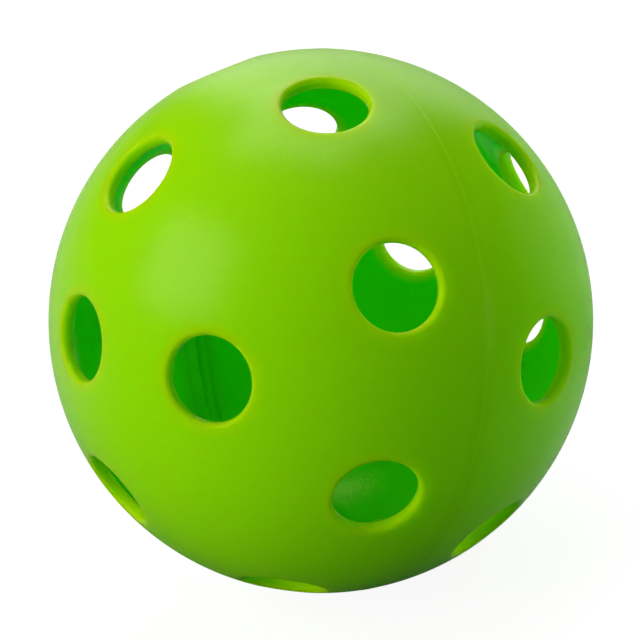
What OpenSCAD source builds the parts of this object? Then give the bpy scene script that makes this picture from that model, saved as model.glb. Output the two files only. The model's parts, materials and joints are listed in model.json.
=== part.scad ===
// Perforated play ball, moulded as two like half shells and butt welded along its equator.
// The origin is the ball's centre, +Z is up and -Y is the front. The ball stands on the rim of one hole
// of its right half.

/* [Ball] */
// Outer diameter of the ball
ball_diameter = 74; // [72.9:0.1:75.4]
// Thickness of the moulded wall
wall = 1.8; // [1.6:0.1:2.2]

/* [Holes] */
// Diameter of a hole at its throat
hole_diameter = 10.9; // [9:0.1:11.5]
// Radius of the rounded rim on the outside of the ball
outer_rim = 0.6; // [0.4:0.05:0.7]
// Radius of the rounded rim on the inside of the ball
inner_rim = 0.7; // [0.4:0.05:0.7]
// Holes in the ring near each pole
near_ring_holes = 4; // [3:1:5]
// Angle from the pole to the holes of the near ring
near_ring_angle = 35.3; // [34:0.1:38]
// Holes in the ring beside the weld
far_ring_holes = 8; // [6:1:9]
// Angle from the pole to the holes of the far ring
far_ring_angle = 72.1; // [70:0.1:74]

/* [Weld] */
// Turn of the left half about the poles, against the right half
weld_turn = -27.5; // [-45:0.5:45]
// Thickness of the melted web between the two weld faces
weld_web = 0.36; // [0.2:0.02:0.6]
// Height of the fine line that the weld leaves on the outside
witness_height = 0.08; // [0.04:0.01:0.12]
// Radius of each roll of flash on the inside
flash_radius = 0.95; // [0.9:0.05:1.1]
// Distance of each roll's centre from the weld plane
flash_spread = 0.8; // [0.6:0.05:0.85]
// Depth of each roll's centre below the inner face of the wall
flash_depth = 0.15; // [0.05:0.05:0.3]

/* [Rest] */
// Turn of the standing ball about the upright, which sets the side that faces front
front_turn = 30; // [0:5:60]

/* [Colours] */
// Colour of the two half shells
shell_colour = [0.44, 0.74, 0.02]; // [0:0.01:1]
// Colour of the weld, where the melt is a little paler
weld_colour = [0.55, 0.80, 0.12]; // [0:0.01:1]

/* [Hidden] */
$fn = 128;
outer_radius = ball_diameter / 2;
inner_radius = outer_radius - wall;
throat_radius = hole_diameter / 2;
// how far a rim's rounding rises past the face that it runs into, which leaves a crisp edge there
rim_rise = 0.01;
// how far a cutter reaches past the faces of the wall
cutter_margin = 1;
// distance from the ball's centre to the middle of each rim's rounding
outer_rim_distance = outer_radius - outer_rim + rim_rise;
inner_rim_distance = inner_radius + inner_rim - rim_rise;
// the same, measured along the hole's own axis
outer_rim_height = sqrt(outer_rim_distance ^ 2 - (throat_radius + outer_rim) ^ 2);
inner_rim_height = sqrt(inner_rim_distance ^ 2 - (throat_radius + inner_rim) ^ 2);
// distance from the hole's axis to where each rounding meets its face
outer_rim_reach = (throat_radius + outer_rim) * outer_radius / outer_rim_distance;
inner_rim_reach = (throat_radius + inner_rim) * inner_radius / inner_rim_distance;
// each hole of the near ring stands midway between two holes of the far ring
near_ring_turn = 180 / far_ring_holes;
// radius of the arc that crowns the weld's outer line
witness_radius = ((weld_web / 2) ^ 2 + witness_height ^ 2) / (2 * witness_height);
// distance from the ball's centre to the middle of the rolls of flash, in the weld plane
flash_distance = inner_radius - flash_depth;

// Flare of a hole where it opens through one face of the wall, as half of a section
module rim_flare(height, rim, reach, side) {
    difference() {
        translate([0, side > 0 ? height : height - rim - cutter_margin])
            square([reach, rim + cutter_margin]);
        translate([throat_radius + rim, height])
            circle(r = rim);
    }
}

// The space of one hole, along +Z from the ball's centre
module hole_space() {
    rotate_extrude() {
        translate([0, inner_rim_height - inner_rim - cutter_margin])
            square([throat_radius, outer_rim_height - inner_rim_height
                + outer_rim + inner_rim + 2 * cutter_margin]);
        rim_flare(outer_rim_height, outer_rim, outer_rim_reach, 1);
        rim_flare(inner_rim_height, inner_rim, inner_rim_reach, -1);
    }
}

// Copies of a shape in a ring about the pole, each at an angle from it
module ring_of_holes(count, angle, turn) {
    for (k = [0 : count - 1])
        rotate([0, angle, turn + k * 360 / count])
            children();
}

// Half of the ball's wall, open at its weld face, with its pole on +Z
module shell_cap() {
    rotate_extrude()
        intersection() {
            difference() {
                circle(r = outer_radius);
                circle(r = inner_radius);
            }
            translate([0, weld_web / 2])
                square(outer_radius);
        }
}

// One half as it leaves the mould: both halves of the ball are this moulding
module half_moulding() {
    difference() {
        shell_cap();
        hole_space();
        ring_of_holes(near_ring_holes, near_ring_angle, near_ring_turn)
            hole_space();
        ring_of_holes(far_ring_holes, far_ring_angle, 0)
            hole_space();
    }
}

// Tips the poles over so that a hole of the right half's far ring faces straight down
module at_rest() {
    rotate([0, -far_ring_angle, front_turn])
        children();
}

module left_half_shell() {
    color(shell_colour)
        at_rest()
            rotate([0, 0, weld_turn])
                half_moulding();
}

module right_half_shell() {
    color(shell_colour)
        at_rest()
            rotate([0, 180, 0])
                half_moulding();
}

// Section of the weld: a crowned web through the wall, and two rolls of flash on the inside
module weld_section() {
    translate([flash_distance, -weld_web / 2])
        square([outer_radius - flash_distance, weld_web]);
    intersection() {
        translate([flash_distance, -weld_web / 2])
            square([outer_radius, weld_web]);
        translate([outer_radius + witness_height - witness_radius, 0])
            circle(r = witness_radius);
    }
    intersection() {
        circle(r = inner_radius);
        for (side = [-1, 1])
            translate([flash_distance, side * flash_spread])
                circle(r = flash_radius);
    }
}

module weld_bead() {
    color(weld_colour)
        at_rest()
            rotate_extrude()
                weld_section();
}

left_half_shell();
right_half_shell();
weld_bead();
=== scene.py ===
import json
import math
import bmesh
import bpy
from mathutils import Euler, Matrix, Vector, noise


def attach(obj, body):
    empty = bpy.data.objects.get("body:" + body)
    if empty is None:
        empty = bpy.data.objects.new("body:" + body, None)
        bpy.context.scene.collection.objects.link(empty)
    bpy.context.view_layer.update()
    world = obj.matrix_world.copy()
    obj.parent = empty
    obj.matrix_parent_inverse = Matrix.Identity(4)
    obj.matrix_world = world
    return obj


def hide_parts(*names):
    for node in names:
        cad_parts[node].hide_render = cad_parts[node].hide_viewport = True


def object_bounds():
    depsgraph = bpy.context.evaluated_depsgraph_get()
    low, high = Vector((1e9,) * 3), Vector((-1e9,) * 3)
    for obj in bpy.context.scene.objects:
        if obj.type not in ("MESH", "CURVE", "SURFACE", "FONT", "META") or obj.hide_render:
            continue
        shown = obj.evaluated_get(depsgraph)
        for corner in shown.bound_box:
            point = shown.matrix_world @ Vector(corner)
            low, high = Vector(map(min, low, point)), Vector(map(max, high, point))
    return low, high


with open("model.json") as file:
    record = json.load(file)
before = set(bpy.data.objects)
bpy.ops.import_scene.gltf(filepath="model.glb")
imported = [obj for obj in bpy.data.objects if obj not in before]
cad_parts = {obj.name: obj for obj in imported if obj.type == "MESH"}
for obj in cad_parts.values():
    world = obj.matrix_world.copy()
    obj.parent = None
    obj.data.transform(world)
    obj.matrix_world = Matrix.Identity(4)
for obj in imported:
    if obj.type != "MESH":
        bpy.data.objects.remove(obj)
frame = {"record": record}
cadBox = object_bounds()
mounts = {mount["name"]: mount for mount in frame["record"]["mounts"]}
scene = bpy.context.scene
scene.view_settings.view_transform = "Standard"
white = (1, 1, 1, 1)

# what both halves share, in metres and degrees
ball = {
    "wall": 0.0018,
    "outerRim": 0.0006,       # rounding of a hole's edge outside
    "innerRim": 0.0007,       # and inside
    "nearRing": (4, 35.3),    # holes in the ring round the pole, and their angle from it
    "farRing": (8, 72.1),     # the same for the ring beside the weld
    "weldTurn": -27.5,        # turn of the left half about the poles
    "webThickness": 0.00036,  # melted plastic between the two weld faces
    "crest": 0.000028,        # height of the weld's line above the ball
    "leftLip": 0.000006,      # how far each half's weld edge stands proud
    "rightLip": 0.000022,
    "lipReach": 0.0009,
    "gap": 0.000005,          # left between the pieces
    "rimRise": 0.00001,       # how far the solids' hole edges run past their faces
}
holeRadius = mounts["pole_holes"]["dims"]["r_mm"] / 1000
holeEnd = mounts["pole_holes"]["dims"]["length_mm"] / 2000
poleAxis = Vector(mounts["pole_holes"]["axis"]).normalized()
# less the rise once more, so that the meshes stay inside the solids' box
outerRadius = math.hypot(holeEnd, holeRadius + ball["outerRim"]) + ball["outerRim"] - 2 * ball["rimRise"]
innerRadius = outerRadius - ball["wall"]
halfWeb = ball["webThickness"] / 2
floorLevel = cadBox[0].z

# from a half with its pole on +Z to where it lies in the part
frontTurn = math.atan2(-poleAxis.y, -poleAxis.x)
atRest = Matrix.Rotation(frontTurn, 4, "Z") @ Matrix.Rotation(-math.acos(poleAxis.z), 4, "Y")
leftPlace = atRest @ Matrix.Rotation(math.radians(ball["weldTurn"]), 4, "Z")
rightPlace = atRest @ Matrix.Rotation(math.pi, 4, "Y")


# a shader socket: arithmetic on it adds Math nodes, and node() adds any other kind
class Wire:
    def __init__(self, tree, socket=None):
        self.tree = tree
        self.socket = socket

    def node(self, kind, settings=None, inputs=None, output=0):
        made = self.tree.nodes.new("ShaderNode" + kind)
        for name, value in (settings or {}).items():
            setattr(made, name, value)
        for name, value in (inputs or {}).items():
            if isinstance(value, Wire):
                self.tree.links.new(value.socket, made.inputs[name])
            else:
                made.inputs[name].default_value = value
        return Wire(self.tree, made.outputs[output] if made.outputs else None)

    def maths(self, operation, first, second=0.0):
        return self.node("Math", {"operation": operation}, {0: first, 1: second})

    def __add__(self, other):
        return self.maths("ADD", self, other)

    def __radd__(self, other):
        return self.maths("ADD", other, self)

    def __sub__(self, other):
        return self.maths("SUBTRACT", self, other)

    def __rsub__(self, other):
        return self.maths("SUBTRACT", other, self)

    def __mul__(self, other):
        return self.maths("MULTIPLY", self, other)

    def mix(self, first, second):
        return self.node("Mix", {"data_type": "RGBA"}, {0: self, 6: first, 7: second}, 2)

    def seen(self):
        # 1 on a ray that the camera sends, straight or through something clear
        straight = self.node("LightPath", output="Is Camera Ray")
        through = self.node("LightPath", output="Is Transmission Ray")
        return self.maths("MAXIMUM", straight, through)

    def step(self, low, high, bottom=0.0, top=1.0):
        settings = {"interpolation_type": "SMOOTHSTEP"}
        return self.node("MapRange", settings, {0: self, 1: low, 2: high, 3: bottom, 4: top})


def newMaterial(name):
    made = bpy.data.materials.new(name)
    made.use_nodes = True
    made.node_tree.nodes.clear()
    return made, Wire(made.node_tree)


# moulded polyethylene: satin outside, grained inside, and light comes some way through it
plastic = {
    "outside": (0.41, 0.97, 0.0004, 1),
    "inside": (0.10, 0.985, 0.0004, 1),     # painted deeper green: it stands in for the mostly green light that comes through the wall
    "insideStart": 0.0012,                  # below the outer face, where the inside's colour, painted deeper green, starts
    "insideFull": 0.0001,                   # above the inner face, where it is full
    "edge": (0.47, 0.985, 0.0004, 1),       # yellower round a hole: a painted glow of the light that comes through the thin edge
    "rimGlowReach": 0.0016,
    "insideRimGlow": (0.62, 0.98, 0.0004, 1),  # the same inside: a painted glow round a hole, where light comes in from behind
    "insideGlowReach": (0.0002, 0.0016),        # from the hole, where that painted glow starts to fade and is gone
    "scatter": (0.0009, 0.0011, 0.0003),    # how far each colour travels in the outer face
    "thinScatter": (0.002, 0.003, 0.0003),  # and in hole edges and the inner face
    "roughness": 0.25,
    "roughnessSpread": 0.02,
    "cloudScale": 140.0,                    # of the patches that are more or less rough
    "insideRoughness": 0.07,
    "bending": 1.5,                         # index of refraction
    "gloss": 0.3,
    "glossTint": (1, 1, 0.6, 1),
    "thinTint": (1, 1, 0.1, 1),             # of the gloss in hole edges, inside and beside the weld
    "line": (0.40, 0.94, 0.0004, 1),        # the weld outside: its crest's shape shades it, and its colour, a touch lighter than beside the weld, is a painted light line
    "rolls": (0.07, 0.95, 0.0004, 1),       # and inside: painted deeper green like the wall's inside, for the green light there
    "webDepth": (0.00001, 0.00003),         # below the line, where the hidden white web starts and is full
    "weldSide": (0.37, 0.92, 0.0004, 1),    # beside the weld, where the plastic is taken as solid
    "weldReach": (0.0006, 0.0018),          # from the weld plane, where that starts to fade and is gone
    "rollsReach": 0.0018,                   # how much further it runs inside, past the rolls
    "grainSize": 0.00045,
    "grainHeight": 0.00002,
    "insideGrain": 0.00004,
}


def mouldedPlastic(name, line=None, rolls=None):
    # the weld has its own colours, and its web throws back the light that comes to it through the halves
    made, wire = newMaterial(name)
    outside, inside = line or plastic["outside"], rolls or plastic["inside"]
    place = wire.node("TexCoord", output="Object")
    radius = wire.node("VectorMath", {"operation": "LENGTH"}, {0: place}, "Value")
    within = radius.step(outerRadius - plastic["insideStart"], innerRadius + plastic["insideFull"])
    fromEdge = wire.node("Attribute", {"attribute_name": "fromEdge"}, None, "Fac")
    # near a hole's edge: the reach of the outside's painted glow, and where the longer scatter is used
    edge = fromEdge.step(0.0, plastic["rimGlowReach"], 1.0, 0.0)
    # near a hole, inside: the reach of the inside's painted glow
    insideRimGlow = fromEdge.step(*plastic["insideGlowReach"], 1.0, 0.0)
    cloudScale, grainScale = plastic["cloudScale"], 1 / plastic["grainSize"]
    cloud = wire.node("TexNoise", None, {"Vector": place, "Scale": cloudScale, "Detail": 3.0}, "Fac")
    grain = wire.node("TexNoise", None, {"Vector": place, "Scale": grainScale, "Detail": 2.0}, "Fac")
    # the outside, yellower near a hole as a painted glow, and the inside, painted deeper green for the
    # light through the wall, also with a painted glow near a hole
    base = within.mix(edge.mix(outside, plastic["edge"]), insideRimGlow.mix(inside, plastic["insideRimGlow"]))
    if line:
        start, full = plastic["webDepth"]
        web = radius.step(outerRadius - start, outerRadius - full)
        web = web * radius.step(innerRadius - start, innerRadius)
        base = web.mix(base, white)
    rough = plastic["roughness"] + (cloud - 0.5) * plastic["roughnessSpread"]
    rough = rough + within * (plastic["insideRoughness"] - rough)
    height = grain * plastic["grainHeight"]
    if not line:
        height = height + grain * within * (plastic["insideGrain"] - plastic["grainHeight"])
    bump = wire.node("Bump", None, {"Strength": 1.0, "Distance": 1.0, "Height": height})
    finish = {
        "Roughness": rough, "Normal": bump,
        "IOR": plastic["bending"], "Specular IOR Level": plastic["gloss"]}

    def skin(colour, tint, scatter=None):
        inputs = {"Base Color": colour, "Specular Tint": tint, **finish}
        if scatter:
            inputs.update({"Subsurface Weight": 1.0, "Subsurface Radius": scatter, "Subsurface Scale": 1.0})
        return wire.node("BsdfPrincipled", {"subsurface_method": "RANDOM_WALK"}, inputs)

    if line:
        shader = skin(base, plastic["glossTint"])
    else:
        outer = skin(base, plastic["glossTint"], plastic["scatter"])
        thin = skin(base, plastic["thinTint"], plastic["thinScatter"])
        lit = wire.node("MixShader", None, {0: wire.maths("MAXIMUM", within, edge), 1: outer, 2: thin})
        solid = skin(within.mix(plastic["weldSide"], inside), plastic["thinTint"])
        dot = {"operation": "DOT_PRODUCT"}
        fromWeld = wire.node("VectorMath", dot, {0: place, 1: tuple(poleAxis)}, "Value")
        fromWeld = wire.maths("ABSOLUTE", fromWeld) - within * plastic["rollsReach"]
        beside = fromWeld.step(*plastic["weldReach"], 1.0, 0.0)
        shader = wire.node("MixShader", None, {0: beside, 1: lit, 2: solid})
    wire.node("OutputMaterial", None, {"Surface": shader})
    return made


limePlastic = mouldedPlastic("limePlastic")
weldPlastic = mouldedPlastic("weldPlastic", plastic["line"], plastic["rolls"])
print("materials made")


def addPiece(name, bm, material):
    mesh = bpy.data.meshes.new(name)
    bm.to_mesh(mesh)
    bm.free()
    mesh.materials.append(material)
    made = bpy.data.objects.new(name, mesh)
    scene.collection.objects.link(made)
    return made


# fineness of a half shell's mesh
shell = {
    "subdivisions": 7,   # of the sphere that it is cut from
    "rimRows": 18,       # faces from the outside to the inside of a hole's edge
    "snap": 0.45,        # share of an edge's length within which a vertex moves onto a cut
    "tolerance": 1e-5,   # of a cut, in shares of the sphere's radius
    "smoothRows": 3,     # rows of vertices beside a cut that are evened out
    "smoothing": 3,      # passes that even them out
    "smoothShare": 0.5,  # of the way to the neighbours' middle in a pass
}
icosahedronEdge = math.radians(63.4)
sphereStep = icosahedronEdge / 2 ** (shell["subdivisions"] - 1)


def vertsOf(edges):
    return {vert for edge in edges for vert in edge.verts}


def onCircle(point, axis, angle):
    aside = (point - axis * point.dot(axis)).normalized()
    return axis * math.cos(angle) + aside * math.sin(angle)


def cutCap(bm, axis, angle):
    # puts the vertices near a circle onto it, and takes away the cap inside it
    for vert in bm.verts:
        if abs(vert.co.angle(axis) - angle) < shell["snap"] * sphereStep:
            vert.co = onCircle(vert.co, axis, angle)
    cut = bmesh.ops.bisect_plane(
        bm, geom=bm.verts[:] + bm.edges[:] + bm.faces[:], dist=shell["tolerance"],
        plane_co=axis * math.cos(angle), plane_no=axis, clear_outer=True)
    rim = [item for item in cut["geom_cut"] if isinstance(item, bmesh.types.BMEdge)]
    for vert in vertsOf(rim):
        vert.co = onCircle(vert.co, axis, angle)
    return rim


def holeAxes():
    # the ways that a half's holes face, with its pole on +Z
    up = Vector((0, 0, 1))
    midway = 180 / ball["farRing"][0]
    axes = [up]
    for (count, angle), turn in ((ball["nearRing"], midway), (ball["farRing"], 0)):
        for k in range(count):
            turned = Euler((0, math.radians(angle), math.radians(turn + k * 360 / count)))
            axes.append(turned.to_matrix() @ up)
    return axes


def rimPoint(share):
    # a point of a hole's rounded edge, from outside to inside: distances from and along the hole's axis
    outer, inner = ball["outerRim"], ball["innerRim"]
    outerX, innerX = holeRadius + outer, holeRadius + inner
    outerZ = math.sqrt((outerRadius - outer) ** 2 - outerX ** 2)
    innerZ = math.sqrt((innerRadius + inner) ** 2 - innerX ** 2)
    start, end = math.atan2(outerZ, outerX), math.pi + math.atan2(innerZ, innerX)
    arcs = (outer * (math.pi - start), outerZ - innerZ, inner * (end - math.pi))
    along = share * sum(arcs)
    if along < arcs[0]:
        turn = start + along / outer
        return outerX + outer * math.cos(turn), outerZ + outer * math.sin(turn)
    along -= arcs[0]
    if along < arcs[1]:
        return holeRadius, outerZ - along
    turn = math.pi + (along - arcs[1]) / inner
    return innerX + inner * math.cos(turn), innerZ + inner * math.sin(turn)


def halfShell(name, place, lip):
    # an open sphere of radius 1 first, with a cap cut away at the weld and at each hole
    bm = bmesh.new()
    fromEdge = bm.verts.layers.float.new("fromEdge")
    bmesh.ops.create_icosphere(bm, subdivisions=shell["subdivisions"], radius=1)
    axes = holeAxes()
    weldEdge = cutCap(bm, Vector((0, 0, -1)), math.acos(-halfWeb / outerRadius))
    outerAngle = math.atan2(*rimPoint(0))
    innerAngle = math.atan2(*rimPoint(1))
    rims = [cutCap(bm, axis, outerAngle) for axis in axes]
    fixed = vertsOf(weldEdge).union(*map(vertsOf, rims))
    near = set(fixed)
    for _ in range(shell["smoothRows"]):
        near |= {edge.other_vert(vert) for vert in near for edge in vert.link_edges}
    for _ in range(shell["smoothing"]):
        loose = list(near - fixed)
        bmesh.ops.smooth_vert(
            bm, verts=loose, factor=shell["smoothShare"], use_axis_x=True, use_axis_y=True, use_axis_z=True)
        for vert in loose:
            vert.co.normalize()
    # the wall's inner face is a copy
    outerVerts = bm.verts[:]
    copy = bmesh.ops.duplicate(bm, geom=bm.verts[:] + bm.edges[:] + bm.faces[:])
    twin = copy["edge_map"]
    innerVerts = [item for item in copy["geom"] if isinstance(item, bmesh.types.BMVert)]
    innerFaces = [item for item in copy["geom"] if isinstance(item, bmesh.types.BMFace)]
    bmesh.ops.reverse_faces(bm, faces=innerFaces)
    for axis, rim in zip(axes, rims):
        for vert in vertsOf(twin[edge] for edge in rim):
            vert.co = onCircle(vert.co, axis, innerAngle)
    # each vertex keeps its distance from the nearest hole's edge, for the material
    for vert in bm.verts:
        vert[fromEdge] = max(min(vert.co.angle(axis) for axis in axes) - outerAngle, 0) * outerRadius
    for vert in innerVerts:
        vert.co *= innerRadius
    for vert in outerVerts:
        fromWeld = vert.co.z * outerRadius - halfWeb
        vert.co *= outerRadius + lip * math.exp(-fromWeld / ball["lipReach"])
    # rounded edges of the holes
    for axis, rim in zip(axes, rims):
        bridge = bmesh.ops.bridge_loops(bm, edges=rim + [twin[edge] for edge in rim])
        ends = vertsOf(rim)
        sides = [edge for face in bridge["faces"] for edge in face.edges]
        across = {edge for edge in sides if len(ends & set(edge.verts)) == 1}
        rows = bmesh.ops.subdivide_edges(
            bm, edges=list(across), cuts=shell["rimRows"] - 1, use_grid_fill=True)
        for vert in [item for item in rows["geom_inner"] if isinstance(item, bmesh.types.BMVert)]:
            fromAxis, alongAxis = rimPoint((outerRadius - vert.co.length) / ball["wall"])
            aside = (vert.co - axis * vert.co.dot(axis)).normalized()
            vert.co = axis * alongAxis + aside * fromAxis
    # the flat weld face
    innerEdge = [twin[edge] for edge in weldEdge]
    bmesh.ops.bridge_loops(bm, edges=weldEdge + innerEdge)
    for edge in weldEdge + innerEdge:
        edge.smooth = False
        for vert in edge.verts:
            vert.co.z = halfWeb + ball["gap"]
    bmesh.ops.recalc_face_normals(bm, faces=bm.faces[:])
    for face in bm.faces:
        face.smooth = True
    bmesh.ops.transform(bm, matrix=place, verts=bm.verts[:])
    return addPiece(name, bm, limePlastic)


leftHalf = halfShell("leftHalf", leftPlace, ball["leftLip"])
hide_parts("left_half_shell")
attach(leftHalf, "root")
rightHalf = halfShell("rightHalf", rightPlace, ball["rightLip"])
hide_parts("right_half_shell")
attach(rightHalf, "root")
print("half shells made")

# plastic squeezed out where the two hot edges met: a fine line outside, a double roll inside
weld = {
    "rollRadius": 0.00095,
    "rollSpread": 0.0008,  # from the weld plane to the middle of a roll
    "rollDepth": -0.0002,  # from the wall's inner face in to the middle of a roll
    "rollReach": 0.0022,   # from the weld plane to a roll's foot
    "rollPoints": 20,
    "wallPoints": 5,       # along the hidden side of a roll
    "crestPoints": 7,
    "turns": 288,
    "wobble": 0.00006,     # unevenness of the rolls
    "wobbleLength": 0.004,
    "sharpAngle": 0.7,     # between faces, past which their edge isn't smoothed
}


def rollRise(aside):
    # how far the rolls stand in from the wall, at a distance from the weld plane
    past = (aside - weld["rollSpread"]) / (weld["rollReach"] - weld["rollSpread"])
    if past > 0:
        return (weld["rollDepth"] + weld["rollRadius"]) * (0.5 + 0.5 * math.cos(math.pi * past))
    return weld["rollDepth"] + math.sqrt(weld["rollRadius"] ** 2 - (weld["rollSpread"] - aside) ** 2)


def weldSection():
    # closed outline: distances from the pole axis and along it, from the left edge of the crest onwards
    points = []
    for k in range(weld["crestPoints"]):
        share = 2 * k / (weld["crestPoints"] - 1) - 1
        lip = (ball["leftLip"] + ball["rightLip"]) / 2 - share * (ball["leftLip"] - ball["rightLip"]) / 2
        rise = lip + (ball["crest"] - lip) * (1 - share ** 2)
        points.append((outerRadius + rise, -share * halfWeb))
    bore, reach, count = innerRadius - ball["gap"], weld["rollReach"], weld["rollPoints"]
    steps = weld["wallPoints"] - 1
    behind = [halfWeb + (reach - halfWeb) * k / steps for k in range(steps + 1)]
    wall = [(math.sqrt(bore ** 2 - z ** 2), z) for z in behind]
    asides = [reach * (1 - k / count) for k in range(1, count)]
    roll = [(math.sqrt(bore ** 2 - z ** 2) - rollRise(z), z) for z in asides]
    points += [(x, -z) for x, z in wall + roll]
    points += [(bore - rollRise(0), 0.0)]
    points += reversed(wall + roll)
    return points


def weldBead():
    bm = bmesh.new()
    fromEdge = bm.verts.layers.float.new("fromEdge")
    section = [bm.verts.new((x, 0, z)) for x, z in weldSection()]
    edges = [bm.edges.new((section[k - 1], section[k])) for k in range(len(section))]
    bmesh.ops.spin(
        bm, geom=section + edges, cent=(0, 0, 0), axis=(0, 0, 1),
        angle=2 * math.pi, steps=weld["turns"], use_merge=True)
    bmesh.ops.recalc_face_normals(bm, faces=bm.faces[:])
    for vert in bm.verts:
        depth = innerRadius - math.hypot(vert.co.x, vert.co.y)
        if depth > 0:
            wave = noise.noise(vert.co / weld["wobbleLength"])
            vert.co += vert.normal * wave * weld["wobble"] * min(depth / weld["rollRadius"], 1)
    for vert in bm.verts:
        # past the reach of both painted glows round the holes, so the weld has none
        vert[fromEdge] = plastic["insideGlowReach"][1]
    for face in bm.faces:
        face.smooth = True
    for edge in bm.edges:
        edge.smooth = edge.calc_face_angle() < weld["sharpAngle"]
    bmesh.ops.transform(bm, matrix=atRest, verts=bm.verts[:])
    return addPiece("weldBead", bm, weldPlastic)


weldRing = weldBead()
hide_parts("weld_bead")
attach(weldRing, "root")
print("weld made")

# camera
view = {
    "azimuth": 0.43,
    "elevation": 19.39,
    "roll": 13.49,
    "distance": 0.27182,
    "halfWidth": 0.16135,  # half the picture's width at a distance of 1
    "aside": -0.00011,     # of the aim from the ball's centre
    "above": 0.00010,
    "sensor": 36,
    "clipStart": 0.01,
}


def addCamera():
    azimuth, elevation = math.radians(view["azimuth"]), math.radians(view["elevation"])
    roll = Matrix.Rotation(-math.radians(view["roll"]), 3, "Z")
    data = bpy.data.cameras.new("camera")
    data.sensor_width = view["sensor"]
    data.lens = data.sensor_width / 2 / view["halfWidth"]
    data.clip_start = view["clipStart"]
    made = bpy.data.objects.new("camera", data)
    scene.collection.objects.link(made)
    turn = Euler((math.pi / 2 - elevation, 0, azimuth)).to_matrix() @ roll
    made.matrix_world = turn.to_4x4()
    made.location = turn @ Vector((view["aside"], view["above"], view["distance"]))
    scene.camera = made


addCamera()

# way that each lamp stands from the ball, its distance, size, power, colour, and if it shows in the gloss
lamps = {
    "key": ((-0.70, -0.32, 0.64), 0.85, (0.52, 0.48), 2.1, (1, 0.94, 0.9), True),
    "keyWide": ((-0.70, -0.52, 0.49), 0.85, (0.7, 0.7), 1.35, (1, 0.94, 0.9), False),
    "top": ((0.17, 0.30, 0.94), 0.90, (0.62, 0.62), 3.2, (1, 0.97, 0.97), True),
    "card": ((0.72, -0.69, 0.02), 0.85, (0.7, 0.7), 0.7, (0.4, 1, 0.8), False),
    "cardLow": ((0.99, -0.05, -0.10), 0.20, (0.16, 0.03), 0.12, (0.8, 1, 0.9), False),
    "leftLow": ((-0.80, -0.60, 0.05), 0.85, (0.7, 0.4), 3.2, (0.85, 1, 0.9), False),
    "back": ((0.0, 1.0, 0.2), 0.85, (1.2, 0.8), 7.5, (0.9, 1, 0.95), False),
}


def addLamp(name):
    way, distance, size, power, colour, glossy = lamps[name]
    data = bpy.data.lights.new(name, "AREA")
    data.shape = "RECTANGLE"
    data.size, data.size_y = size
    data.energy = power
    data.color = colour
    made = bpy.data.objects.new(name, data)
    scene.collection.objects.link(made)
    made.location = Vector(way).normalized() * distance
    made.rotation_euler = Vector(way).to_track_quat("Z", "Y").to_euler()
    made.visible_glossy = glossy
    made.visible_camera = False


for name in lamps:
    addLamp(name)

# floor and surroundings
studio = {
    "floorSize": 3.0,
    "floorFaces": 8,
    "floorShade": 0.15,                    # of the paper, as the camera sees it
    "floorBounce": (0.05, 0.15, 0.06, 1),  # of the light that it throws back, with a green cast
    "floorGlow": 0.92,                     # of the white that the camera sees near the ball
    "floorFar": (0.1, 0.5),                # from the ball, where that goes over to full white
    "floorBehind": (-0.02, 0.10),          # where the floor behind starts to show in the gloss
    "floorRight": (-0.03, 0.05),           # the same for the floor close to the ball on the right
    "floorTurn": 0.7,                      # how far the right counts as behind, there
    "floorClose": (0.06, 0.11),            # from the ball's centre, where that fades
    # the bright paper behind, which only the gloss shows: its left and right edges, and its level
    "sweepSides": (-0.16, 0.60),
    "sweepSoft": 0.1,                      # half the width of those edges
    "sweep": (0.35, 2.1),                  # at the floor, and how much brighter straight up
    "sweepTop": (0.72, 0.88),              # where it ends, below the top lamp
    "behind": (0.0, 0.25),                 # how far back it starts
    "sides": 0.3,                          # level of the low horizon beside it, and of the mirrored floor
    "sidesTop": (0.05, 0.3),
    "fill": 0.02,                          # level all round
}


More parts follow.
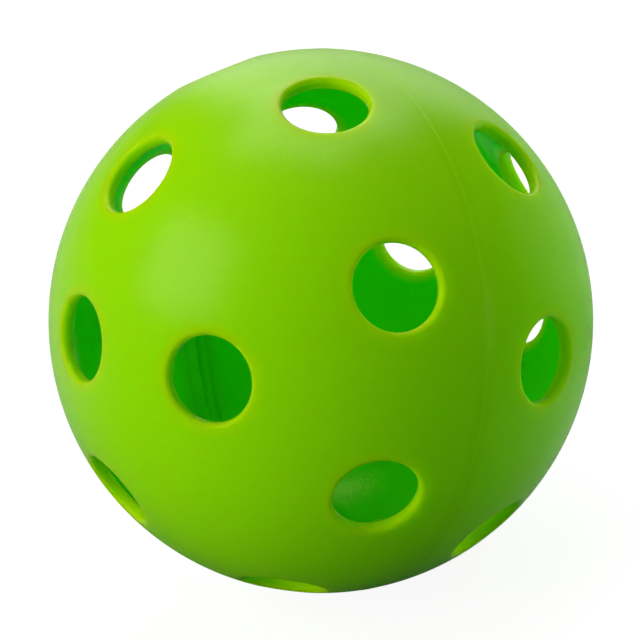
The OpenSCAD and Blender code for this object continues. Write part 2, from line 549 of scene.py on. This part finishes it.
def addFloor():
    faces = studio["floorFaces"]
    bm = bmesh.new()
    bmesh.ops.create_grid(bm, x_segments=faces, y_segments=faces, size=studio["floorSize"])
    bmesh.ops.translate(bm, vec=(0, 0, floorLevel), verts=bm.verts[:])
    paper, wire = newMaterial("paper")
    seen = wire.seen()
    glossy = wire.node("LightPath", output="Is Glossy Ray")
    place = wire.node("TexCoord", output="Object")
    aside = wire.node("SeparateXYZ", None, {0: place}, "X")
    behind = wire.node("SeparateXYZ", None, {0: place}, "Y")
    fromBall = wire.node("VectorMath", {"operation": "LENGTH"}, {0: place}, "Value")
    right = (behind + aside * studio["floorTurn"]).step(*studio["floorRight"])
    right = right * fromBall.step(*studio["floorClose"], 1.0, 0.0)
    mirrored = wire.maths("MAXIMUM", right, behind.step(*studio["floorBehind"])) * studio["sides"]
    shade, near = studio["floorShade"], studio["floorGlow"]
    bounce = wire.node("BsdfDiffuse", None, {"Color": studio["floorBounce"]})
    matt = wire.node("BsdfDiffuse", None, {"Color": (shade, shade, shade, 1)})
    level = fromBall.step(*studio["floorFar"]).mix((near, near, near, 1), white)
    glow = wire.node("Emission", None, {"Color": level, "Strength": 1.0})
    both = wire.node("AddShader", None, {0: glow, 1: matt})
    bright = seen + glossy * mirrored
    surface = wire.node("MixShader", None, {0: bright, 1: bounce, 2: both})
    wire.node("OutputMaterial", None, {"Surface": surface})
    addPiece("floor", bm, paper)


def addWorld():
    world = bpy.data.worlds.new("studio")
    world.use_nodes = True
    world.node_tree.nodes.clear()
    wire = Wire(world.node_tree)
    seen = wire.seen()
    glossy = wire.node("LightPath", output="Is Glossy Ray")
    direction = wire.node("TexCoord", output="Generated")
    across = wire.node("SeparateXYZ", None, {0: direction}, "X")
    behind = wire.node("SeparateXYZ", None, {0: direction}, "Y").step(*studio["behind"])
    up = wire.node("SeparateXYZ", None, {0: direction}, "Z")
    left, right = studio["sweepSides"]
    soft = studio["sweepSoft"]
    low, rise = studio["sweep"]
    sweep = across.step(left - soft, left + soft) * across.step(right - soft, right + soft, 1.0, 0.0)
    sweep = sweep * up.step(*studio["sweepTop"], 1.0, 0.0) * (low + up * rise)
    sides = up.step(*studio["sidesTop"], studio["sides"], 0.0)
    sweep = behind * wire.maths("MAXIMUM", sweep, sides)
    level = studio["fill"] + glossy * sweep
    level = level + seen * (1 - level)
    light = wire.node("Background", None, {"Color": white, "Strength": level})
    wire.node("OutputWorld", None, {"Surface": light})
    scene.world = world


addFloor()
addWorld()
print("camera, floor and light made")
